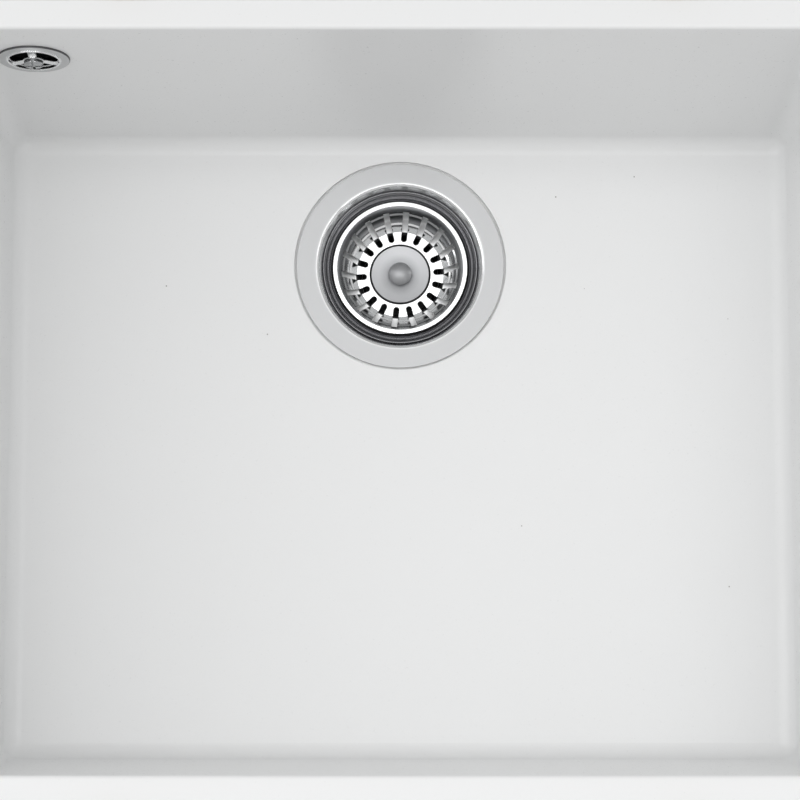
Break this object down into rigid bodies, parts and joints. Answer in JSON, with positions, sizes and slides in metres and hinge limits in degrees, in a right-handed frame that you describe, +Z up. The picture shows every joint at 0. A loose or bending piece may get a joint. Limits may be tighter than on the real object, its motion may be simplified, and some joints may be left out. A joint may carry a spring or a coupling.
{
  "type": "undermount kitchen sink",
  "caption": "White composite undermount kitchen sink bowl with lift-out basket strainer, pull-up stopper, rear overflow with ribbed hose, and swinging clips for fixing under a worktop.",
  "frame": {"origin": "middle of the bowl's opening in the plane of the rim's top face, which meets the underside of the worktop", "axes": "+X to the right, +Y towards the rear wall with the overflow, +Z up"},
  "size_m": [0.581, 0.485, 0.299],
  "materials": {
    "composite_white": "satin",
    "polished_steel": "polished",
    "satin_steel": "satin",
    "zinc_steel": "satin",
    "brass": "satin",
    "black_rubber": "matte",
    "white_plastic": "satin",
    "grey_plastic": "satin"
  },
  "bodies": {
    "sink": {"sink_bowl": "composite_white", "strainer_cup": "polished_steel", "flange_gasket": "black_rubber", "waste_gasket": "black_rubber", "waste_body": "white_plastic", "waste_nut": "brass", "fixing_screw": "polished_steel", "overflow_rosette": "satin_steel", "overflow_screw": "polished_steel", "overflow_gasket": "black_rubber", "overflow_elbow": "white_plastic", "overflow_nut": "brass", "overflow_hose": "grey_plastic", "hose_nut_upper": "white_plastic", "hose_nut_lower": "white_plastic", "hose_seal_upper": "black_rubber", "hose_seal_lower": "black_rubber", "clip_studs": "zinc_steel", "clip_anchors": "brass", "clip_washers": "zinc_steel", "clip_wing_nuts": "zinc_steel"},
    "basket": {"strainer_basket": "polished_steel", "hub_bush": "white_plastic", "detent_spring": "zinc_steel"},
    "stopper": {"basket_cap": "satin_steel", "lift_knob": "satin_steel", "stopper_stem": "satin_steel", "stopper_plate": "satin_steel", "stopper_seal": "black_rubber", "stem_clip": "zinc_steel"},
    "clip_1": {"clip_bracket_1": "zinc_steel"},
    "clip_2": {"clip_bracket_2": "zinc_steel"},
    "clip_3": {"clip_bracket_3": "zinc_steel"},
    "clip_4": {"clip_bracket_4": "zinc_steel"},
    "clip_5": {"clip_bracket_5": "zinc_steel"},
    "clip_6": {"clip_bracket_6": "zinc_steel"}
  },
  "joints": [
    {"name": "basket_lift", "type": "slide", "parent": "sink", "child": "basket", "axis": [0, 0, 1], "range_m": [0, 0.25]},
    {"name": "stopper_lift", "type": "slide", "parent": "basket", "child": "stopper", "axis": [0, 0, 1], "range_m": [0, 0.007]},
    {"name": "clip_swing_1", "type": "hinge", "parent": "sink", "child": "clip_1", "pos_m": [-0.15, -0.2305, -0.0135], "axis": [0, 0, 1], "range_deg": [0, 90]},
    {"name": "clip_swing_2", "type": "hinge", "parent": "sink", "child": "clip_2", "pos_m": [0.15, -0.2305, -0.0135], "axis": [0, 0, 1], "range_deg": [0, 90]},
    {"name": "clip_swing_3", "type": "hinge", "parent": "sink", "child": "clip_3", "pos_m": [0.2765, 0, -0.0135], "axis": [0, 0, 1], "range_deg": [0, 90]},
    {"name": "clip_swing_4", "type": "hinge", "parent": "sink", "child": "clip_4", "pos_m": [0.15, 0.2305, -0.0135], "axis": [0, 0, 1], "range_deg": [0, 90]},
    {"name": "clip_swing_5", "type": "hinge", "parent": "sink", "child": "clip_5", "pos_m": [-0.15, 0.2305, -0.0135], "axis": [0, 0, 1], "range_deg": [0, 90]},
    {"name": "clip_swing_6", "type": "hinge", "parent": "sink", "child": "clip_6", "pos_m": [-0.2765, 0, -0.0135], "axis": [0, 0, 1], "range_deg": [0, 90]}
  ]
}
